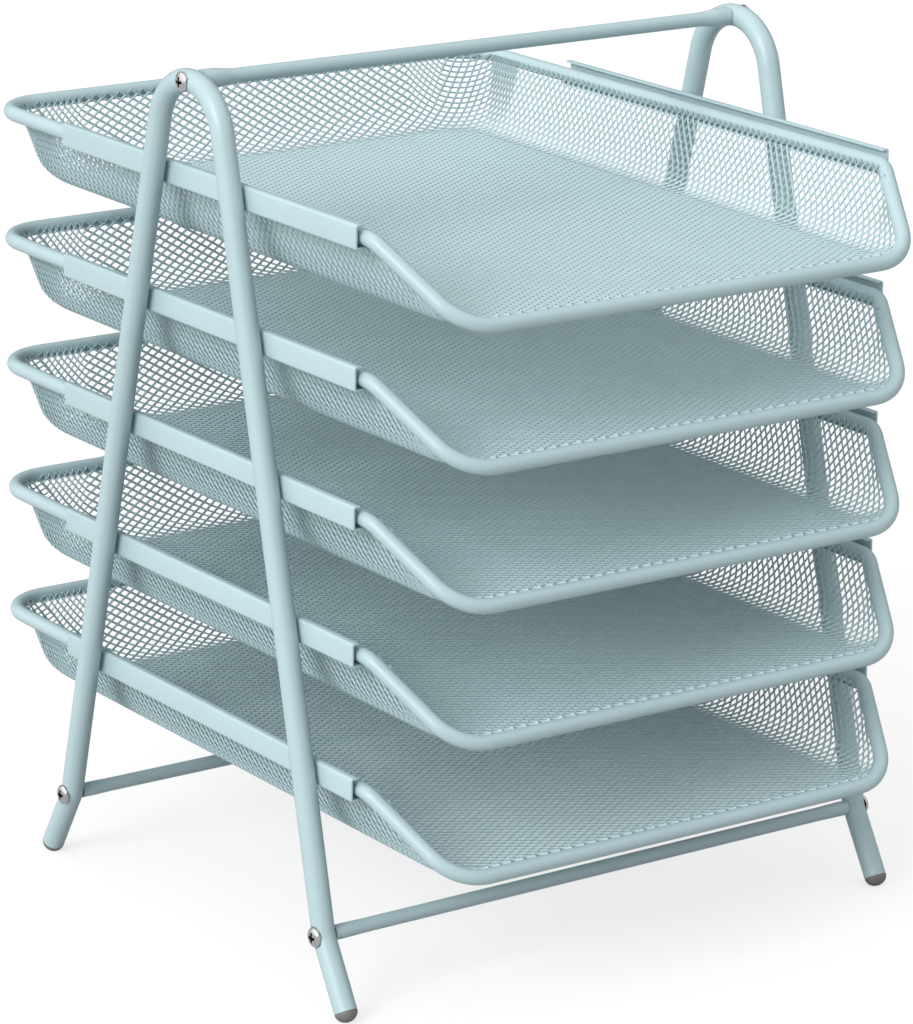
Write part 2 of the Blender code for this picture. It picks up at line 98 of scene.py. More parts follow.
# Mesh pans
EDGE_RUN = 0.008               # upper part of a mesh wall that is pressed out to the wire
EDGE_BITE = 0.0001             # how far its strands are pressed into the paint of the wire
CUT_TOLERANCE = 0.0004         # how far a cell of the mesh may pass the sheet's edge
SHEET_SPAN = 0.42              # longest side of the flat mesh sheet
WIRE_SPACING = 0.001           # between the points that stand for the wire
BEND_POINTS = 24               # such steps round one bend of the wire
EDGE_SEARCH = (0.08, 0.26, 0.0004)  # start, end and step of the search outwards for the sheet's edge
EDGE_RAYS = 1441               # directions that it is searched in

# Stage
FLOOR_SIZE = 12.0
KEY_SOURCE = (-0.82, -0.24, 0.50)   # towards the main light
KEY_SPREAD = math.radians(30)       # its size in the sky
PANEL_FOCUS = 2.0                   # how fast a soft panel fades from its middle
STUDIO_PANELS = {                   # towards the middle of each soft panel
    "left_panel": (-0.925, 0.379, 0.25),
    "front_panel": (-0.578, -0.816, 0.25),
    "right_panel": (0.816, -0.578, 0.25),
    "top_panel": (0, 0, 1),
}


def middle(node):
    low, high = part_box(node)
    return (low + high) / 2


def extent(node):
    low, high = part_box(node)
    return high - low


# Sizes that the solids already fix
TUBE_RADIUS = extent("side_frame_left").x / 2
FRAME_X = middle("side_frame_right").x
FRAME_Y = middle("side_frame_right").y
KINK_REACH = FRAME_Y - middle("front_cross_bar").y
KINK_HEIGHT = middle("front_cross_bar").z
RAIL_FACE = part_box("rail_right_1")[1].x
RAIL_LENGTH = extent("rail_right_1").y
RAIL_HEIGHT = extent("rail_right_1").z
RAIL_LOW_FLANGE = extent("rail_right_1").x
RIM_LEVELS = {tier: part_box("tray_rim_%d" % tier)[1].z for tier in TIERS}


class OrganizerFrameSizes(bpy.types.PropertyGroup):
    """Sizes of the two side frames, their bars, screws and feet."""

    arch_height: bpy.props.FloatProperty(
        name="Arch height", description="Tube centre at the top of the arch", default=0.3933, unit="LENGTH")
    arch_radius: bpy.props.FloatProperty(
        name="Arch radius", description="Bend of the arch on the tube's centre line",
        default=0.0264, unit="LENGTH")
    kink_radius: bpy.props.FloatProperty(
        name="Kink radius", description="Bend above each foot on the tube's centre line", default=0.014,
        unit="LENGTH")
    foot_reach: bpy.props.FloatProperty(
        name="Foot reach", description="Lower leg's centre line on the floor, from the frame's middle",
        default=0.1276, unit="LENGTH")
    tube_end: bpy.props.FloatProperty(
        name="Tube end", description="Height of the tube's cut end at its centre",
        default=0.0046, unit="LENGTH")
    tube_wall: bpy.props.FloatProperty(
        name="Tube wall", description="Thickness of the tube's wall", default=0.0012, unit="LENGTH")
    top_bar: bpy.props.FloatProperty(
        name="Top bar radius", description="Radius of the bar between the arches",
        default=0.0033, unit="LENGTH")
    top_flare: bpy.props.FloatProperty(
        name="Top bar flare", description="Radius of the top bar's swollen ends",
        default=0.0045, unit="LENGTH")
    low_bar: bpy.props.FloatProperty(
        name="Lower bar radius", description="Radius of the bars between the legs",
        default=0.0032, unit="LENGTH")
    low_flare: bpy.props.FloatProperty(
        name="Lower bar flare", description="Radius of the lower bars' ends", default=0.0034, unit="LENGTH")
    flare_length: bpy.props.FloatProperty(
        name="Flare length", description="Length over which a bar's end swells", default=0.018, unit="LENGTH")
    head_radius: bpy.props.FloatProperty(
        name="Screw head radius", description="Radius of the domed screw heads",
        default=0.0045, unit="LENGTH")
    head_height: bpy.props.FloatProperty(
        name="Screw head height", description="Height of the domed screw heads",
        default=0.0024, unit="LENGTH")
    seat_depth: bpy.props.FloatProperty(
        name="Seat depth", description="Depth of the flat pressed into the tube under a head", default=0.001,
        unit="LENGTH")
    plug_dome: bpy.props.FloatProperty(
        name="Foot dome", description="Height of the domed end of a foot plug", default=0.0045, unit="LENGTH")


class OrganizerTraySizes(bpy.types.PropertyGroup):
    """Sizes of the rails, the rim wires and the pressed mesh."""

    rail_sheet: bpy.props.FloatProperty(
        name="Rail sheet", description="Thickness of the folded rails", default=0.001, unit="LENGTH")
    rail_fold: bpy.props.FloatProperty(
        name="Rail fold", description="Outer radius of the rails' folds", default=0.0013, unit="LENGTH")
    rail_top_flange: bpy.props.FloatProperty(
        name="Rail top flange", description="Width of the narrow upper flange", default=0.0035, unit="LENGTH")
    wire_radius: bpy.props.FloatProperty(
        name="Wire radius", description="Radius of the rim wires", default=0.0035, unit="LENGTH")
    wire_reach: bpy.props.FloatProperty(
        name="Wire reach", description="Side wires' centre from the middle", default=0.138, unit="LENGTH")
    wire_front: bpy.props.FloatProperty(
        name="Wire front", description="Front wire's centre ahead of the origin",
        default=0.1792, unit="LENGTH")
    wire_back: bpy.props.FloatProperty(
        name="Wire back", description="Back wire's centre behind the origin", default=0.1792, unit="LENGTH")
    front_half: bpy.props.FloatProperty(
        name="Front half", description="Half width where the lines of the dips meet the front wire",
        default=0.1194, unit="LENGTH")
    dip_start: bpy.props.FloatProperty(
        name="Dip start", description="Where the side wires turn down, ahead of the origin", default=0.138,
        unit="LENGTH")
    wire_drop: bpy.props.FloatProperty(
        name="Wire drop", description="Front wire below the side wires", default=0.0321, unit="LENGTH")
    back_corner: bpy.props.FloatProperty(
        name="Back corner", description="Bend of the wire at the back corners", default=0.0234, unit="LENGTH")
    dip_corner: bpy.props.FloatProperty(
        name="Dip corner", description="Bend of the wire where it turns down", default=0.012, unit="LENGTH")
    front_corner: bpy.props.FloatProperty(
        name="Front corner", description="Bend of the wire at the front corners",
        default=0.0234, unit="LENGTH")
    pan_depth: bpy.props.FloatProperty(
        name="Pan depth", description="Floor of the pan below the side wires", default=0.0335, unit="LENGTH")
    pan_fold: bpy.props.FloatProperty(
        name="Pan fold", description="Bend between floor and walls", default=0.017, unit="LENGTH")
    pan_lean: bpy.props.FloatProperty(
        name="Wall lean", description="Lean of the walls from upright",
        default=math.radians(15), subtype="ANGLE")
    pan_corner: bpy.props.FloatProperty(
        name="Pan corner", description="Rounding of the pan's corners in plan", default=0.018, unit="LENGTH")
    edge_inside: bpy.props.FloatProperty(
        name="Edge inside", description="Wall's upper edge inside the wire's centre, before it is bent out",
        default=0.0046, unit="LENGTH")
    edge_rise: bpy.props.FloatProperty(
        name="Edge rise", description="Wall's upper edge above the wire's centre",
        default=0.001, unit="LENGTH")
    pan_lip: bpy.props.FloatProperty(
        name="Front lip", description="Depth of the upturned front edge", default=0.0131, unit="LENGTH")
    diamond_width: bpy.props.FloatProperty(
        name="Diamond width", description="Long way of the mesh, across the tray",
        default=0.0065, unit="LENGTH")
    diamond_depth: bpy.props.FloatProperty(
        name="Diamond depth", description="Short way of the mesh", default=0.0041, unit="LENGTH")
    strand_width: bpy.props.FloatProperty(
        name="Strand width", description="Width of the mesh's strands", default=0.0012, unit="LENGTH")
    strand_thickness: bpy.props.FloatProperty(
        name="Strand thickness", description="Thickness of the mesh's strands", default=0.0012, unit="LENGTH")


class OrganizerFinishes(bpy.types.PropertyGroup):
    """Colours of the organizer, and colour and light of the stage."""

    mint: bpy.props.FloatVectorProperty(
        name="Mint", description="Powder coat of the tubes, bars and wires", default=(0.362, 0.482, 0.508),
        size=3, min=0, max=1, subtype="COLOR")
    chrome: bpy.props.FloatVectorProperty(
        name="Chrome", description="Plating of the screws", default=(0.66, 0.66, 0.67), size=3, min=0, max=1,
        subtype="COLOR")
    foot_grey: bpy.props.FloatVectorProperty(
        name="Foot grey", description="Plastic of the foot plugs",
        default=(0.115, 0.112, 0.112), size=3, min=0,
        max=1, subtype="COLOR")
    floor: bpy.props.FloatVectorProperty(
        name="Floor", description="Paper over the glowing studio floor",
        default=(0.25, 0.25, 0.248), size=3, min=0, max=1,
        subtype="COLOR")
    floor_bounce: bpy.props.FloatProperty(
        name="Floor bounce", description="Paleness of the floor to the light that it throws back",
        default=0.50)
    floor_glow: bpy.props.FloatProperty(
        name="Floor glow", description="Light from under the floor's paper", default=0.72)
    key_light: bpy.props.FloatProperty(
        name="Main light", description="Strength of the main light", default=2.1)
    left_panel: bpy.props.FloatProperty(
        name="Left panel", description="Strength of the soft panel on that side", default=1.40)
    front_panel: bpy.props.FloatProperty(
        name="Front panel", description="Strength of the soft panel on that side", default=0.45)
    right_panel: bpy.props.FloatProperty(
        name="Right panel", description="Strength of the soft panel on that side", default=0.50)
    top_panel: bpy.props.FloatProperty(
        name="Top panel", description="Strength of the soft panel on that side", default=1.10)


class OrganizerCamera(bpy.types.PropertyGroup):
    """Where the camera stands."""

    place: bpy.props.FloatVectorProperty(
        name="Place", description="Camera position", default=(-1.1957, -1.6914, 0.7921), size=3,
        subtype="TRANSLATION")
    azimuth: bpy.props.FloatProperty(
        name="Azimuth", description="Turn of the view about the upright axis", default=math.radians(-35.353),
        subtype="ANGLE")
    elevation: bpy.props.FloatProperty(
        name="Elevation", description="Height of the view above the horizon", default=math.radians(16.673),
        subtype="ANGLE")
    roll: bpy.props.FloatProperty(
        name="Roll", description="Tilt of the picture", default=math.radians(0.8545), subtype="ANGLE")
    lens: bpy.props.FloatProperty(
        name="Lens", description="Focal length in millimetres", default=163.57)


def sizes():
    return bpy.context.scene.organizer_frame


def tray_sizes():
    return bpy.context.scene.organizer_tray


def finishes():
    return bpy.context.scene.organizer_finishes


# Modelling helpers
def start_clean():
    """Object mode with nothing selected, so that operators reach only the new piece."""
    if bpy.context.mode != "OBJECT":
        bpy.ops.object.mode_set(mode="OBJECT")
    bpy.ops.object.select_all(action="DESELECT")


def only(piece):
    start_clean()
    piece.select_set(True)
    bpy.context.view_layer.objects.active = piece


def settle(piece, angle=math.radians(35)):
    """Ends a piece: its place goes into its mesh, doubles are merged and it is shaded smooth."""
    only(piece)
    bpy.ops.object.transform_apply(location=True, rotation=True, scale=True)
    bpy.ops.object.mode_set(mode="EDIT")
    bpy.ops.mesh.select_all(action="SELECT")
    bpy.ops.mesh.remove_doubles(threshold=MERGE_GAP)
    bpy.ops.mesh.normals_make_consistent(inside=False)
    bpy.ops.object.mode_set(mode="OBJECT")
    bpy.ops.object.shade_smooth_by_angle(angle=angle)
    return piece


def pick(piece, kind, wanted):
    """Edit mode with only the wanted edges or faces selected."""
    bpy.ops.object.mode_set(mode="EDIT")
    bpy.ops.mesh.select_mode(type=kind)
    bpy.ops.mesh.select_all(action="DESELECT")
    bpy.ops.object.mode_set(mode="OBJECT")
    elements = piece.data.edges if kind == "EDGE" else piece.data.polygons
    elements.foreach_set("select", wanted)
    bpy.ops.object.mode_set(mode="EDIT")


def edge_ends(piece, edge):
    return [piece.data.vertices[index].co for index in edge.vertices]


def apply_modifiers(piece):
    only(piece)
    for modifier in list(piece.modifiers):
        bpy.ops.object.modifier_apply(modifier=modifier.name)


def cut_away(piece, cutter):
    """Cuts the cutter's shape out of the piece and removes the cutter."""
    difference = piece.modifiers.new("cut", "BOOLEAN")
    difference.operation = "DIFFERENCE"
    difference.object = cutter
    apply_modifiers(piece)
    bpy.data.objects.remove(cutter, do_unlink=True)


def drill(radius, start, end, sides=32):
    """A cylinder between two points, to cut with."""
    start_clean()
    turn = (end - start).to_track_quat("Z", "Y").to_euler()
    bpy.ops.mesh.primitive_cylinder_add(
        vertices=sides, radius=radius, depth=(end - start).length, location=(start + end) / 2, rotation=turn)
    return bpy.context.active_object


def hand_over(piece, name, node, body, material):
    """Names a finished piece, gives it its finish and lets it stand for its solid."""
    piece.name = name
    piece.data.name = name
    piece.data.materials.clear()
    piece.data.materials.append(material)
    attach(piece, body)
    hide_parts(node)


def copy_of(piece, shift):
    """A copy with its own mesh, moved by a vector that goes into the mesh."""
    only(piece)
    bpy.ops.object.duplicate()
    copy = bpy.context.active_object
    copy.location = shift
    bpy.ops.object.transform_apply(location=True, rotation=False, scale=False)
    return copy


def bend_at(before, corner, after, radius):
    """Setback, centre, axis and angle of the bend that rounds a corner of a centre line."""
    arriving = (corner - before).normalized()
    leaving = (after - corner).normalized()
    angle = arriving.angle(leaving)
    setback = radius * math.tan(angle / 2)
    axis = arriving.cross(leaving).normalized()
    centre = corner - arriving * setback + axis.cross(arriving) * radius
    return setback, centre, axis, angle


def extrude_by(step):
    bpy.ops.mesh.extrude_region_move(TRANSFORM_OT_translate={"value": step})


def ring(radius, sides, place, direction):
    """A circle of edges across a direction, in edit mode with all of it selected."""
    start_clean()
    turn = direction.to_track_quat("Z", "Y").to_euler()
    bpy.ops.mesh.primitive_circle_add(vertices=sides, radius=radius, location=place, rotation=turn)
    piece = bpy.context.active_object
    bpy.ops.object.mode_set(mode="EDIT")
    bpy.ops.mesh.select_all(action="SELECT")
    return piece


def bent_tube(corners, bends, radius, sides, step_angle):
    """Tube along a centre line: a circle extruded along its straight runs and spun round its bends."""
    place = corners[0]
    piece = ring(radius, sides, place, corners[1] - corners[0])
    for before, corner, after, bend in zip(corners, corners[1:], corners[2:], bends):
        setback, centre, axis, angle = bend_at(before, corner, after, bend)
        extrude_by(corner - (corner - before).normalized() * setback - place)
        steps = max(3, round(angle / step_angle))
        bpy.ops.mesh.spin(steps=steps, angle=-angle, center=centre, axis=axis)
        place = corner + (after - corner).normalized() * setback
    extrude_by(corners[-1] - place)
    bpy.ops.object.mode_set(mode="OBJECT")
    return piece


def stacked_rings(place, direction, profile, sides):
    """Round solid along an axis: a circle extruded and resized ring by ring, with closed ends."""
    axis = direction.normalized()
    along, radius = profile[0]
    piece = ring(radius, sides, place + axis * along, axis)
    bpy.ops.mesh.edge_face_add()
    for next_along, next_radius in profile[1:]:
        extrude_by(axis * (next_along - along))
        share = next_radius / radius
        bpy.ops.transform.resize(value=(share, share, share), center_override=place + axis * next_along)
        along, radius = next_along, next_radius
    bpy.ops.object.mode_set(mode="OBJECT")
    return piece


# Places on the side frames
def leg_lean():
    """Angle from upright of the legs, which run from the kinks tangent to the arch."""
    group = sizes()
    rise = group.arch_height - group.arch_radius - KINK_HEIGHT
    reach = math.hypot(KINK_REACH, rise)
    return math.acos(group.arch_radius / reach) - math.atan2(rise, KINK_REACH)


def lower_leg(front):
    """Unit vector down the leg below its kink; front is 1 or -1."""
    return Vector((0, front * (KINK_REACH - sizes().foot_reach), -KINK_HEIGHT)).normalized()


def kink_place(side, front):
    return Vector((side * FRAME_X, FRAME_Y - front * KINK_REACH, KINK_HEIGHT))


def arch_place(side):
    return Vector((side * FRAME_X, FRAME_Y, sizes().arch_height))


def tube_end_place(side, front):
    down = lower_leg(front)
    return kink_place(side, front) + down * (KINK_HEIGHT - sizes().tube_end) / -down.z


def joint_place(side, word):
    """Where a cross bar and its screw meet the tube."""
    if word == "top":
        return arch_place(side)
    return kink_place(side, 1 if word == "front" else -1)


def tube_direction(word):
    """Run of the tube at a cross bar."""
    if word == "top":
        return Vector((0, 1, 0))
    front = 1 if word == "front" else -1
    upper = Vector((0, -front * math.sin(leg_lean()), -math.cos(leg_lean())))
    return (upper + lower_leg(front)).normalized()


# Finishes
def group_socket(tree, name, kind, into, default=None):
    socket = tree.interface.new_socket(name=name, in_out="INPUT" if into else "OUTPUT", socket_type=kind)
    if default is not None:
        socket.default_value = default


def noise(tree, vector, scale, detail, place):
    node = tree.nodes.new("ShaderNodeTexNoise")
    node.location = place
    node.inputs["Scale"].default_value = scale
    node.inputs["Detail"].default_value = detail
    tree.links.new(vector, node.inputs["Vector"])
    return node.outputs["Fac"]


def remap(tree, value, low, high, place):
    node = tree.nodes.new("ShaderNodeMapRange")
    node.location = place
    node.inputs["To Min"].default_value = low
    node.inputs["To Max"].default_value = high
    tree.links.new(value, node.inputs["Value"])
    return node.outputs["Result"]


def mixed(tree, factor, first, second, place):
    """Colour between two, by a value that changes over the surface."""
    node = tree.nodes.new("ShaderNodeMix")
    node.data_type = "RGBA"
    node.location = place
    node.inputs["A"].default_value = (*first, 1)
    node.inputs["B"].default_value = (*second, 1)
    tree.links.new(factor, node.inputs["Factor"])
    return node.outputs["Result"]


def shaded(colour, tone):
    return [channel * tone for channel in colour]


def powder_coat_group():
    """Shared effect: baked powder paint with drifting tone, fine specks and an orange-peel skin."""
    tree = bpy.data.node_groups.new("powder_coat", "ShaderNodeTree")
    group_socket(tree, "Vector", "NodeSocketVector", True)
    group_socket(tree, "Paint", "NodeSocketColor", True, (0.5, 0.7, 0.7, 1))
    group_socket(tree, "Gloss spread", "NodeSocketFloat", True, 0.06)
    group_socket(tree, "Colour", "NodeSocketColor", False)
    group_socket(tree, "Roughness", "NodeSocketFloat", False)
    group_socket(tree, "Height", "NodeSocketFloat", False)
    inward = tree.nodes.new("NodeGroupInput")
    inward.location = (-900, 0)
    outward = tree.nodes.new("NodeGroupOutput")
    outward.location = (600, 0)
    vector = inward.outputs["Vector"]
    drift = noise(tree, vector, 14.0, 3.0, (-650, 250))
    speck = noise(tree, vector, 2600.0, 2.0, (-650, 0))
    peel = noise(tree, vector, 900.0, 2.0, (-650, -250))
    tone = tree.nodes.new("ShaderNodeMix")
    tone.data_type = "RGBA"
    tone.blend_type = "MULTIPLY"
    tone.location = (300, 250)
    tone.inputs["Factor"].default_value = 1.0
    shade = tree.nodes.new("ShaderNodeMath")
    shade.operation = "MULTIPLY"
    shade.location = (50, 250)
    tree.links.new(remap(tree, drift, 0.95, 1.05, (-300, 300)), shade.inputs[0])
    tree.links.new(remap(tree, speck, 0.94, 1.06, (-300, 100)), shade.inputs[1])
    tree.links.new(inward.outputs["Paint"], tone.inputs["A"])
    tree.links.new(shade.outputs["Value"], tone.inputs["B"])
    tree.links.new(tone.outputs["Result"], outward.inputs["Colour"])
    spread = tree.nodes.new("ShaderNodeMath")
    spread.operation = "MULTIPLY_ADD"
    spread.location = (300, 0)
    spread.inputs[2].default_value = 0.34
    tree.links.new(drift, spread.inputs[0])
    tree.links.new(inward.outputs["Gloss spread"], spread.inputs[1])
    tree.links.new(spread.outputs["Value"], outward.inputs["Roughness"])
    tree.links.new(peel, outward.inputs["Height"])
    return tree


def bump_into(tree, shader, height, strength, distance):
    bump = tree.nodes.new("ShaderNodeBump")
    bump.location = (-200, -300)
    bump.inputs["Strength"].default_value = strength
    bump.inputs["Distance"].default_value = distance
    tree.links.new(height, bump.inputs["Height"])
    tree.links.new(bump.outputs["Normal"], shader.inputs["Normal"])


def new_material(name):
    material = bpy.data.materials.new(name)
    material.use_nodes = True
    tree = material.node_tree
    shader = tree.nodes["Principled BSDF"]
    coordinates = tree.nodes.new("ShaderNodeTexCoord")
    coordinates.location = (-900, 0)
    return material, tree, shader, coordinates.outputs["Object"]


def powder_coat(name, tone=1.0, spread=0.06, peel=0.12):
    """Mint powder coat on one kind of piece."""
    material, tree, shader, vector = new_material(name)
    coat = tree.nodes.new("ShaderNodeGroup")
    coat.node_tree = bpy.data.node_groups.get("powder_coat") or powder_coat_group()
    coat.location = (-600, 0)
    coat.inputs["Paint"].default_value = (*shaded(finishes().mint, tone), 1)
    coat.inputs["Gloss spread"].default_value = spread
    tree.links.new(vector, coat.inputs["Vector"])
    tree.links.new(coat.outputs["Colour"], shader.inputs["Base Color"])
    tree.links.new(coat.outputs["Roughness"], shader.inputs["Roughness"])
    bump_into(tree, shader, coat.outputs["Height"], peel, 0.0002)
    shader.inputs["IOR"].default_value = 1.5
    return material


def chrome_finish(name, tone=1.0):
    """Bright plating with faint swirl marks."""
    material, tree, shader, vector = new_material(name)
    shader.inputs["Metallic"].default_value = 1.0
    swirl = noise(tree, vector, 1800.0, 4.0, (-650, 0))
    plating = shaded(finishes().chrome, tone)
    tint = mixed(tree, swirl, shaded(plating, 0.8), plating, (-300, 150))
    tree.links.new(tint, shader.inputs["Base Color"])
    tree.links.new(remap(tree, swirl, 0.06, 0.18, (-300, -50)), shader.inputs["Roughness"])
    bump_into(tree, shader, swirl, 0.05, 0.0001)
    return material


def moulded_plastic(name):
    """Dark grey plastic with a fine moulded grain and scuffs."""
    material, tree, shader, vector = new_material(name)
    grain = noise(tree, vector, 3200.0, 3.0, (-650, -200))
    scuff = noise(tree, vector, 260.0, 5.0, (-650, 100))
    grey = finishes().foot_grey
    tint = mixed(tree, scuff, grey, shaded(grey, 1.7), (-300, 150))
    tree.links.new(tint, shader.inputs["Base Color"])
    tree.links.new(remap(tree, scuff, 0.42, 0.62, (-300, -50)), shader.inputs["Roughness"])
    bump_into(tree, shader, grain, 0.2, 0.0001)
    return material


def finish_named(name, make, **values):
    return bpy.data.materials.get(name) or make(name, **values)


class ORGANIZER_OT_side_frames(bpy.types.Operator):
    """Bends the two side frame tubes"""

    bl_idname = "organizer.side_frames"
    bl_label = "Side frames"

    def execute(self, context):
        group = sizes()
        paint = finish_named("tube_powder_coat", powder_coat)
        apex_rise = group.arch_radius / math.sin(leg_lean()) - group.arch_radius
        for word, side in SIDES.items():
            corners = [
                tube_end_place(side, 1),
                kink_place(side, 1),
                arch_place(side) + Vector((0, 0, apex_rise)),
                kink_place(side, -1),
                tube_end_place(side, -1),
            ]
            bends = [group.kink_radius, group.arch_radius, group.kink_radius]
            tube = settle(bent_tube(corners, bends, TUBE_RADIUS, TUBE_SIDES, TUBE_BEND_STEP))
            wall = tube.modifiers.new("wall", "SOLIDIFY")
            wall.thickness = group.tube_wall
            wall.offset = -1
            apply_modifiers(tube)
            for joint in JOINTS:
                seat = joint_place(side, joint) + Vector((side * (TUBE_RADIUS - group.seat_depth), 0, 0))
                outside = seat + Vector((side * TUBE_RADIUS, 0, 0))
                cut_away(tube, drill(group.head_radius + SEAT_GAP, seat, outside))
            settle(tube)
            hand_over(tube, "tube_" + word, "side_frame_" + word, "frame", paint)
        return {"FINISHED"}


class ORGANIZER_OT_cross_bars(bpy.types.Operator):
    """Makes the three cross bars with their swollen, coped ends"""

    bl_idname = "organizer.cross_bars"
    bl_label = "Cross bars"

    def execute(self, context):
        group = sizes()
        paint = finish_named("tube_powder_coat", powder_coat)
        for word in JOINTS:
            radius = group.top_bar if word == "top" else group.low_bar
            flare = group.top_flare if word == "top" else group.low_flare
            left, right = joint_place(-1, word), joint_place(1, word)
            length = right.x - left.x
            inset = TUBE_RADIUS * BAR_START
            swell = [(inset, flare)]
            for step in range(FLARE_RINGS + 1):
                share = step / FLARE_RINGS
                ease = 0.5 + 0.5 * math.cos(math.pi * share)
                along = inset + group.flare_length * (FLARE_FLAT + (1 - FLARE_FLAT) * share)
                swell.append((along, radius + (flare - radius) * ease))
            profile = swell + [(length - along, size) for along, size in reversed(swell)]
            bar = stacked_rings(left, Vector((1, 0, 0)), profile, BAR_SIDES)
            for place in (left, right):
                run = tube_direction(word) * COPE_REACH
                cut_away(bar, drill(TUBE_RADIUS + JOINT_GAP, place - run, place + run, COPE_SIDES))
            settle(bar)
            hand_over(bar, "bar_" + word, word + "_cross_bar", "frame", paint)
        return {"FINISHED"}


class ORGANIZER_OT_screws(bpy.types.Operator):
    """Makes the six domed cross-recess screws"""

    bl_idname = "organizer.screws"
    bl_label = "Screws"

    def recess(self, place, side, across):
        """One tapered wing of the cross recess."""
        start_clean()
        group = sizes()
        bpy.ops.mesh.primitive_cube_add(size=1.0, location=place)
        wing = bpy.context.active_object
        long_way = group.head_radius * RECESS_LONG
        short_way = group.head_radius * RECESS_WIDE
        mouth = (long_way, short_way) if across else (short_way, long_way)
        wing.scale = (group.head_height * RECESS_DEEP, *mouth)
        bpy.ops.object.transform_apply(location=False, rotation=False, scale=True)
        bpy.ops.object.mode_set(mode="EDIT")
        bpy.ops.mesh.select_all(action="DESELECT")
        bpy.ops.object.mode_set(mode="OBJECT")
        for face in wing.data.polygons:
            face.select = face.normal.x * side < -0.5
        bpy.ops.object.mode_set(mode="EDIT")
        bpy.ops.mesh.select_mode(type="FACE")
        bpy.ops.transform.resize(value=(1, RECESS_TAPER, RECESS_TAPER))
        bpy.ops.object.mode_set(mode="OBJECT")
        return wing

    def paint_recess_shade(self, head, seat, outward):
        """Paints shade into the recess: faces that lie well below the dome get a dark copy of the plating."""
        group = sizes()
        # Painted shade: a copy of the plating at a small share of its brightness stands for the shade deep in
        # the cross recess.
        head.data.materials.append(finish_named("recess_painted_shade", chrome_finish, tone=RECESS_SHADE_TONE))
        for face in head.data.polygons:
            along = (face.center - seat).dot(outward)
            away = (face.center - seat - outward * along).length / group.head_radius
            dome = group.head_height * math.sqrt(max(0, 1 - away ** 2))
            if 0 < along < dome - RECESS_SHADE and away < RECESS_REACH:
                face.material_index = 1

    def execute(self, context):
        group = sizes()
        radius, height = group.head_radius, group.head_height
        plating = finish_named("screw_plating", chrome_finish)
        for word, side in SIDES.items():
            for joint in JOINTS:
                outward = Vector((side, 0, 0))
                seat = joint_place(side, joint) + outward * (TUBE_RADIUS - group.seat_depth + HEAD_LIFT)
                edge = height * HEAD_EDGE
                profile = [(-SHANK_LENGTH, radius * SHANK_SHARE), (0.0, radius * SHANK_SHARE)]
                profile += [(NEAR, radius * 0.97), (edge * 0.4, radius)]
                for step in range(HEAD_RINGS):
                    turn = math.pi / 2 * step / HEAD_RINGS
                    profile.append((edge + (height - edge) * math.sin(turn), radius * math.cos(turn)))
                profile.append((height, radius * 0.06))
                head = stacked_rings(seat, outward, profile, HEAD_SIDES)
                top = seat + outward * height
                for across in (True, False):
                    cut_away(head, self.recess(top, side, across))
                settle(head)
                name = "screw_%s_%s" % (word, joint)
                hand_over(head, "head_" + name, name, "frame", plating)
                self.paint_recess_shade(head, seat, outward)
        return {"FINISHED"}


class ORGANIZER_OT_foot_plugs(bpy.types.Operator):
    """Makes the four domed foot plugs"""

    bl_idname = "organizer.foot_plugs"
    bl_label = "Foot plugs"

    def execute(self, context):
        group = sizes()
        plastic = finish_named("foot_plastic", moulded_plastic)
        for word, side in SIDES.items():
            for front in (1, -1):
                down = lower_leg(front)
                place = tube_end_place(side, front) + down * JOINT_GAP
                bore = TUBE_RADIUS - group.tube_wall - JOINT_GAP
                profile = [(-PLUG_STUB, bore * 0.94), (-PLUG_STUB * 0.9, bore), (0.0, bore)]
                profile += [(NEAR, TUBE_RADIUS * 0.985), (group.plug_dome * 0.04, TUBE_RADIUS)]
                for step in range(1, PLUG_RINGS):
                    turn = math.pi / 2 * step / PLUG_RINGS
                    profile.append((group.plug_dome * math.sin(turn), TUBE_RADIUS * math.cos(turn)))
                profile.append((group.plug_dome, TUBE_RADIUS * 0.05))
                plug = stacked_rings(place, down, profile, PLUG_SIDES)
                only(plug)
                bpy.ops.object.mode_set(mode="EDIT")
                bpy.ops.mesh.select_all(action="SELECT")
                bpy.ops.mesh.bisect(plane_co=(0, 0, 0), plane_no=(0, 0, 1), use_fill=True, clear_inner=True,
                                    threshold=FLOOR_CUT)
                settle(plug)
                name = "foot_%s_%s" % (word, "front" if front > 0 else "rear")
                hand_over(plug, "plug_" + name, name, "frame", plastic)
        return {"FINISHED"}


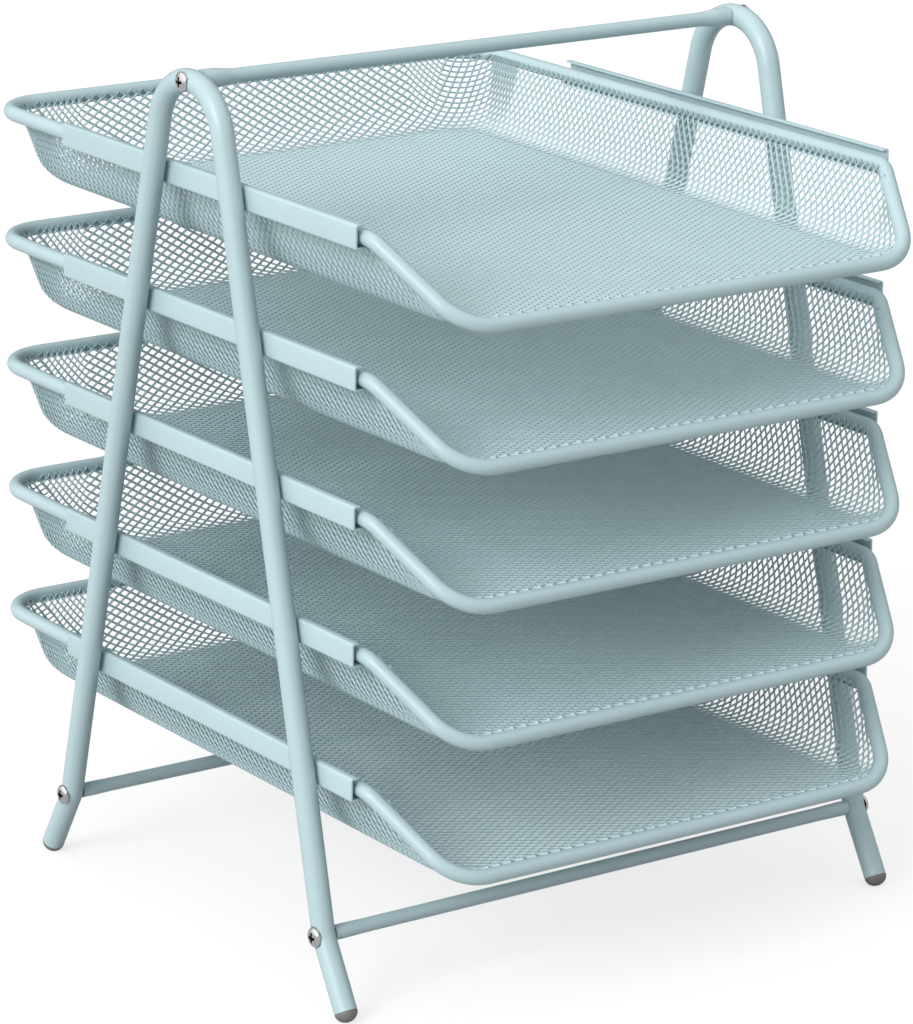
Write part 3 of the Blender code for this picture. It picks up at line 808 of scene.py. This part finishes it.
class ORGANIZER_OT_rails(bpy.types.Operator):
    """Folds the ten rails"""

    bl_idname = "organizer.rails"
    bl_label = "Rails"

    def fold_rail(self, side):
        """One folded channel at the level of the top pair."""
        group = tray_sizes()
        low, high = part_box("rail_%s_1" % ("left" if side < 0 else "right"))
        face = side * RAIL_FACE
        start_clean()
        place = Vector((face, (low.y + high.y) / 2, (low.z + high.z) / 2))
        bpy.ops.mesh.primitive_plane_add(size=1.0, location=place, rotation=(0, math.pi / 2, 0))
        rail = bpy.context.active_object
        rail.scale = (RAIL_HEIGHT, RAIL_LENGTH, 1)
        bpy.ops.object.transform_apply(location=True, rotation=True, scale=True)
        for level, flange in ((high.z, group.rail_top_flange), (low.z, RAIL_LOW_FLANGE)):
            pick(rail, "EDGE", [
                all(abs(end.z - level) < NEAR and abs(end.x - face) < NEAR for end in edge_ends(rail, edge))
                for edge in rail.data.edges])
            bpy.ops.transform.edge_bevelweight(value=1.0)
            extrude_by(Vector((-side * flange, 0, 0)))
            bpy.ops.object.mode_set(mode="OBJECT")
        weights = rail.data.attributes.get("bevel_weight_edge")
        for edge in rail.data.edges:
            start, end = edge_ends(rail, edge)
            at_face = abs(start.x - face) < NEAR and abs(end.x - face) < NEAR
            weights.data[edge.index].value = 1.0 if at_face and abs(start.z - end.z) < NEAR else 0.0
        only(rail)
        bpy.ops.object.mode_set(mode="EDIT")
        bpy.ops.mesh.select_all(action="SELECT")
        bpy.ops.mesh.normals_make_consistent(inside=False)
        bpy.ops.object.mode_set(mode="OBJECT")
        fold = rail.modifiers.new("fold", "BEVEL")
        fold.limit_method = "WEIGHT"
        fold.width = group.rail_fold
        fold.segments = FOLD_SEGMENTS
        sheet = rail.modifiers.new("sheet", "SOLIDIFY")
        sheet.thickness = group.rail_sheet
        web = next(panel for panel in rail.data.polygons if abs(panel.normal.x) > 0.5)
        sheet.offset = -1 if web.normal.x * side > 0 else 1
        sheet.use_even_offset = True
        edge = rail.modifiers.new("edge", "BEVEL")
        edge.limit_method = "ANGLE"
        edge.angle_limit = math.radians(60)
        edge.width = group.rail_sheet * EDGE_ROUND
        edge.segments = EDGE_SEGMENTS
        apply_modifiers(rail)
        return settle(rail)

    def execute(self, context):
        # Painted light: the rails get the same mint 6 percent lighter, a lit copy that stands for the
        # stronger light on their faces.
        paint = finish_named("rail_powder_coat", powder_coat, tone=1.06)
        for word, side in SIDES.items():
            first = self.fold_rail(side)
            for tier in TIERS:
                name = "rail_%s_%d" % (word, tier)
                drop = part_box(name)[0].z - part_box("rail_%s_1" % word)[0].z
                rail = copy_of(first, Vector((0, 0, drop)))
                hand_over(rail, "channel_%s_%d" % (word, tier), name, "frame", paint)
            bpy.data.objects.remove(first, do_unlink=True)
        return {"FINISHED"}


def rim_level(tier):
    """Height of the side wires' centre."""
    return RIM_LEVELS[tier] - tray_sizes().wire_radius


def rim_corners():
    """Corners of the rim's centre line at side wire level, from the middle of the back round to it again."""
    group = tray_sizes()
    back = Vector((0, group.wire_back, 0))
    corners = [back]
    for side in (-1, 1):
        reach = side * group.wire_reach
        run = [
            Vector((reach, group.wire_back, 0)),
            Vector((reach, -group.dip_start, 0)),
            Vector((side * group.front_half, -group.wire_front, -group.wire_drop)),
        ]
        corners += run if side < 0 else run[::-1]
    return corners + [back]


def rim_bends():
    group = tray_sizes()
    half = [group.back_corner, group.dip_corner, group.front_corner]
    return half + half[::-1]


class ORGANIZER_OT_tray_rims(bpy.types.Operator):
    """Bends the five rim wires"""

    bl_idname = "organizer.tray_rims"
    bl_label = "Tray rims"

    def execute(self, context):
        group = tray_sizes()
        paint = finish_named("wire_powder_coat", powder_coat)
        first = settle(bent_tube(rim_corners(), rim_bends(), group.wire_radius, WIRE_SIDES, WIRE_BEND_STEP))
        for tier in TIERS:
            wire = copy_of(first, Vector((0, 0, rim_level(tier))))
            hand_over(wire, "wire_%d" % tier, "tray_rim_%d" % tier, "tray_%d" % tier, paint)
        bpy.data.objects.remove(first, do_unlink=True)
        return {"FINISHED"}


# The pressed mesh pan
class PanPress:
    """Maps the flat mesh sheet to the pressed pan, at side wire level."""

    def __init__(self):
        group = tray_sizes()
        self.depth = group.pan_depth
        self.fold = group.pan_fold
        self.lean = group.pan_lean
        self.corner = group.pan_corner
        self.turn = math.pi / 2 - self.lean
        rise = self.depth + group.edge_rise - self.fold * (1 - math.sin(self.lean))
        self.length = self.fold * self.turn + rise / math.cos(self.lean)
        self.lean_out = 0.0
        offset = self.wall(np.array([self.length]))[0][0]
        self.half = group.wire_reach - group.edge_inside - offset
        self.back = group.wire_back - group.edge_inside - offset
        self.front = -group.wire_front + group.pan_lip
        self.centre = (self.front + self.back) / 2
        self.lean_out = group.edge_inside - group.wire_radius - group.strand_thickness / 2 + EDGE_BITE
        self.learn_front_edge()

    def wire_points(self):
        """Close points on the rim's centre line."""
        corners, bends = rim_corners(), rim_bends()
        points = [corners[0]]
        for before, corner, after, bend in zip(corners, corners[1:], corners[2:], bends):
            setback, centre, axis, angle = bend_at(before, corner, after, bend)
            start = corner - (corner - before).normalized() * setback - centre
            for step in range(BEND_POINTS + 1):
                points.append(centre + Matrix.Rotation(angle * step / BEND_POINTS, 3, axis) @ start)
        points.append(corners[-1])
        close = []
        for start, end in zip(points, points[1:]):
            count = max(1, int((end - start).length / WIRE_SPACING))
            close += [start.lerp(end, index / count) for index in range(count)]
        return np.array(close)

    def wall(self, distance):
        """Outward offset and rise of the wall, at distances along the sheet from the floor's edge."""
        angle = np.clip(distance / self.fold, 0, self.turn)
        rest = np.maximum(distance - angle * self.fold, 0)
        at_edge = np.clip((distance - self.length) / EDGE_RUN + 1, 0, 1) ** 2
        offset = self.fold * np.sin(angle) + rest * math.sin(self.lean) + self.lean_out * at_edge
        rise = self.fold * (1 - np.cos(angle)) + rest * math.cos(self.lean)
        return np.where(distance < 0, distance, offset), rise

    def plan(self, flat):
        """Flat points measured from the rounded floor: across, along, and distance up the wall."""
        near_front = flat[:, 1] < self.centre
        across = np.abs(flat[:, 0]) - self.half + self.corner
        along = np.where(near_front, self.front - flat[:, 1], flat[:, 1] - self.back) + self.corner
        square = np.maximum(2 * self.corner ** 2 - (across - along) ** 2, 0)
        rounded = (np.abs(across - along) < self.corner) & (across + along > self.corner)
        straight = np.maximum(across, along) - self.corner
        level = np.where(rounded, (across + along - np.sqrt(square)) / 2, straight)
        return near_front, across, along, level

    def press(self, flat):
        """Places of flat points once the walls are pressed up."""
        near_front, across, along, level = self.plan(flat)
        offset, rise = self.wall(level)
        safe = np.where(level > 1e-9, level, 1.0)
        pull = np.where(level > 1e-9, offset - level, 0.0)
        across = across + pull * np.clip(across / safe, 0, 1)
        along = along + pull * np.clip(along / safe, 0, 1)
        reach = along - self.corner
        x = np.copysign(across + self.half - self.corner, flat[:, 0])
        y = np.where(near_front, self.front - reach, self.back + reach)
        return np.column_stack((x, y, rise - self.depth))

    def learn_front_edge(self):
        """Reach of the sheet in each direction, to where it runs into the wire of the dips and the front."""
        group = tray_sizes()
        wire = self.wire_points()
        slope = math.atan2(group.wire_drop, group.wire_front - group.dip_start)
        steps = np.arange(*EDGE_SEARCH)
        self.rays = np.linspace(-math.pi, math.pi, EDGE_RAYS)
        self.reach = np.full(len(self.rays), steps[-1])
        for index, angle in enumerate(self.rays):
            if math.sin(angle) > 0:
                continue
            flat = (steps * math.cos(angle), self.centre + steps * math.sin(angle))
            spots = self.press(np.column_stack(flat))
            near = np.linalg.norm(spots[:, None, :] - wire[None, :, :], axis=2).min(axis=1)
            over = (-group.dip_start - spots[:, 1]) * math.sin(slope) + spots[:, 2] * math.cos(slope)
            ahead = spots[:, 1] < -group.wire_front
            ended = (near < group.wire_radius / 2) | (over > group.edge_rise) | ahead
            if ended.any():
                self.reach[index] = steps[np.argmax(ended)]

    def keeps(self, middles, corners):
        """True for cells inside the sheet's edge: by their middle at the front, whole at the walls' top."""
        x, y = middles[:, 0], middles[:, 1] - self.centre
        inside = np.hypot(x, y) < np.interp(np.arctan2(y, x), self.rays, self.reach)
        highest = self.plan(corners.reshape(-1, 2))[3].reshape(len(middles), -1).max(axis=1)
        return inside & (highest < self.length + CUT_TOLERANCE)


class ORGANIZER_OT_tray_meshes(bpy.types.Operator):
    """Opens the diamond mesh and presses the five pans"""

    bl_idname = "organizer.tray_meshes"
    bl_label = "Tray meshes"

    def flat_lattice(self, press):
        """Diamond cells of the flat sheet, trimmed to its edge."""
        group = tray_sizes()
        start_clean()
        half_sheet = press.half + press.length
        width = half_sheet / round(half_sheet / group.diamond_width)
        depth = group.diamond_depth
        cells = 2 * math.ceil(max(2 * half_sheet / width, SHEET_SPAN / depth))
        bpy.ops.mesh.primitive_grid_add(x_subdivisions=cells, y_subdivisions=cells, size=cells / math.sqrt(2))
        sheet = bpy.context.active_object
        sheet.rotation_euler = (0, 0, math.pi / 4)
        bpy.ops.object.transform_apply(location=False, rotation=True, scale=False)
        rows = math.floor((press.back + press.length - press.centre) / depth)
        sheet.scale = (width, depth, 1)
        sheet.location = (0, press.back + press.length - rows * depth, 0)
        bpy.ops.object.transform_apply(location=True, rotation=False, scale=True)
        mesh = sheet.data
        places = np.zeros(len(mesh.vertices) * 3)
        mesh.vertices.foreach_get("co", places)
        loops = np.zeros(len(mesh.loops), dtype=np.int32)
        mesh.loops.foreach_get("vertex_index", loops)
        corners = places.reshape(-1, 3)[loops, :2].reshape(-1, 4, 2)
        outside = ~press.keeps(corners.mean(axis=1), corners)
        pick(sheet, "FACE", outside)
        bpy.ops.mesh.delete(type="FACE")
        return sheet

    def open_cells(self, sheet):
        """Opens every cell and marks the crest of each strand."""
        bpy.ops.mesh.select_all(action="SELECT")
        bpy.ops.mesh.inset(thickness=tray_sizes().strand_width / 2, use_individual=True, use_even_offset=True)
        bpy.ops.mesh.select_mode(type="VERT")
        bpy.ops.mesh.select_all(action="INVERT")
        bpy.ops.object.vertex_group_assign_new()
        bpy.ops.mesh.select_all(action="INVERT")
        bpy.ops.mesh.select_mode(type="FACE")
        bpy.ops.mesh.delete(type="ONLY_FACE")
        bpy.ops.object.mode_set(mode="OBJECT")
        sheet.vertex_groups[0].name = "crest"

    def execute(self, context):
        group = tray_sizes()
        paint = finish_named("mesh_powder_coat", powder_coat, spread=0.10)
        press = PanPress()
        sheet = self.flat_lattice(press)
        self.open_cells(sheet)
        mesh = sheet.data
        flat = np.zeros(len(mesh.vertices) * 3)
        mesh.vertices.foreach_get("co", flat)
        mesh.vertices.foreach_set("co", press.press(flat.reshape(-1, 3)[:, :2]).ravel())
        mesh.update()
        strand = sheet.modifiers.new("strand", "SOLIDIFY")
        strand.thickness = group.strand_thickness
        strand.offset = 0.0
        strand.vertex_group = "crest"
        strand.thickness_vertex_group = 0.0
        apply_modifiers(sheet)
        settle(sheet, angle=math.radians(20))
        for tier in TIERS:
            pan = copy_of(sheet, Vector((0, 0, rim_level(tier))))
            hand_over(pan, "pan_%d" % tier, "tray_mesh_%d" % tier, "tray_%d" % tier, paint)
        bpy.data.objects.remove(sheet, do_unlink=True)
        return {"FINISHED"}


class ORGANIZER_OT_stage(bpy.types.Operator):
    """Sets the floor, the studio lights and the camera"""

    bl_idname = "organizer.stage"
    bl_label = "Stage"

    def floor(self):
        """White to look at, and a greyer paper to the light that it throws back under the trays."""
        start_clean()
        bpy.ops.mesh.primitive_plane_add(size=FLOOR_SIZE, location=(0, 0, 0))
        floor = bpy.context.active_object
        floor.name = "studio_floor"
        material, tree, shader, vector = new_material("studio_floor")
        tone = noise(tree, vector, 1.5, 2.0, (-650, 0))
        pale = finishes().floor
        tint = mixed(tree, tone, shaded(pale, 0.98), pale, (-300, 150))
        tree.links.new(tint, shader.inputs["Base Color"])
        shader.inputs["Roughness"].default_value = 0.9
        shader.inputs["Emission Color"].default_value = (1, 1, 1, 1)
        shader.inputs["Emission Strength"].default_value = finishes().floor_glow
        paper = tree.nodes.new("ShaderNodeBsdfDiffuse")
        paper.inputs["Color"].default_value = (*[finishes().floor_bounce] * 3, 1)
        path = tree.nodes.new("ShaderNodeLightPath")
        choice = tree.nodes.new("ShaderNodeMixShader")
        tree.links.new(path.outputs["Is Camera Ray"], choice.inputs["Fac"])
        tree.links.new(paper.outputs["BSDF"], choice.inputs[1])
        tree.links.new(shader.outputs["BSDF"], choice.inputs[2])
        tree.links.new(choice.outputs["Shader"], tree.nodes["Material Output"].inputs["Surface"])
        floor.data.materials.append(material)

    def main_light(self):
        """Soft light from far away, so that it falls evenly on all the tiers."""
        start_clean()
        turn = Vector(KEY_SOURCE).to_track_quat("Z", "Y").to_euler()
        bpy.ops.object.light_add(type="SUN", location=Vector(KEY_SOURCE) * 2, rotation=turn)
        lamp = bpy.context.active_object
        lamp.name = "main_light"
        lamp.data.energy = finishes().key_light
        lamp.data.angle = KEY_SPREAD

    def surroundings(self):
        """Soft panel in each direction, in a studio that looks white."""
        group = finishes()
        world = bpy.context.scene.world or bpy.data.worlds.new("studio")
        bpy.context.scene.world = world
        world.use_nodes = True
        tree = world.node_tree
        backdrop = tree.nodes["Background"]
        backdrop.inputs["Color"].default_value = (1, 1, 1, 1)
        coordinates = tree.nodes.new("ShaderNodeTexCoord")
        total = None
        for name, direction in STUDIO_PANELS.items():
            facing = tree.nodes.new("ShaderNodeVectorMath")
            facing.operation = "DOT_PRODUCT"
            facing.inputs[1].default_value = Vector(direction).normalized()
            tree.links.new(coordinates.outputs["Generated"], facing.inputs[0])
            lit = facing.outputs["Value"]
            strength = getattr(group, name)
            for operation, value in (("MAXIMUM", 0.0), ("POWER", PANEL_FOCUS), ("MULTIPLY_ADD", strength)):
                node = tree.nodes.new("ShaderNodeMath")
                node.operation = operation
                node.inputs[1].default_value = value
                tree.links.new(lit, node.inputs[0])
                lit = node.outputs["Value"]
            node.inputs[2].default_value = 0.0
            if total is not None:
                tree.links.new(total, node.inputs[2])
            total = lit
        tree.links.new(total, backdrop.inputs["Strength"])
        white = tree.nodes.new("ShaderNodeBackground")
        white.inputs["Color"].default_value = (1, 1, 1, 1)
        path = tree.nodes.new("ShaderNodeLightPath")
        choice = tree.nodes.new("ShaderNodeMixShader")
        tree.links.new(path.outputs["Is Camera Ray"], choice.inputs["Fac"])
        tree.links.new(backdrop.outputs["Background"], choice.inputs[1])
        tree.links.new(white.outputs["Background"], choice.inputs[2])
        tree.links.new(choice.outputs["Shader"], tree.nodes["World Output"].inputs["Surface"])

    def camera(self):
        view = bpy.context.scene.organizer_camera
        turn = Matrix.Rotation(view.azimuth, 3, "Z") @ Matrix.Rotation(math.pi / 2 - view.elevation, 3, "X")
        turn = turn @ Matrix.Rotation(view.roll, 3, "Z")
        start_clean()
        bpy.ops.object.camera_add(location=view.place, rotation=turn.to_euler())
        camera = bpy.context.active_object
        camera.data.sensor_width = 36.0
        camera.data.lens = view.lens
        camera.data.clip_end = 50.0
        bpy.context.scene.camera = camera

    def execute(self, context):
        self.floor()
        self.main_light()
        self.surroundings()
        context.scene.view_settings.view_transform = "Standard"
        self.camera()
        return {"FINISHED"}


STEPS = (
    ORGANIZER_OT_stage,
    ORGANIZER_OT_side_frames,
    ORGANIZER_OT_cross_bars,
    ORGANIZER_OT_screws,
    ORGANIZER_OT_foot_plugs,
    ORGANIZER_OT_rails,
    ORGANIZER_OT_tray_rims,
    ORGANIZER_OT_tray_meshes,
)


class ORGANIZER_PT_build(bpy.types.Panel):
    """Lists the organizer's pieces in the order they are made"""

    bl_idname = "ORGANIZER_PT_build"
    bl_label = "Mesh desk organizer"
    bl_space_type = "VIEW_3D"
    bl_region_type = "UI"
    bl_category = "Organizer"

    def draw(self, context):
        for step in STEPS:
            self.layout.operator(step.bl_idname)


GROUPS = {
    "organizer_frame": OrganizerFrameSizes,
    "organizer_tray": OrganizerTraySizes,
    "organizer_finishes": OrganizerFinishes,
    "organizer_camera": OrganizerCamera,
}


def register():
    for name, group in GROUPS.items():
        bpy.utils.register_class(group)
        setattr(bpy.types.Scene, name, bpy.props.PointerProperty(type=group))
    for step in STEPS:
        bpy.utils.register_class(step)
    bpy.utils.register_class(ORGANIZER_PT_build)


def unregister():
    bpy.utils.unregister_class(ORGANIZER_PT_build)
    for step in reversed(STEPS):
        bpy.utils.unregister_class(step)
    for name, group in GROUPS.items():
        delattr(bpy.types.Scene, name)
        bpy.utils.unregister_class(group)


def main():
    register()
    bpy.ops.organizer.stage()
    bpy.ops.organizer.side_frames()
    bpy.ops.organizer.cross_bars()
    bpy.ops.organizer.screws()
    bpy.ops.organizer.foot_plugs()
    bpy.ops.organizer.rails()
    bpy.ops.organizer.tray_rims()
    bpy.ops.organizer.tray_meshes()
    start_clean()


if __name__ == "__main__":
    main()
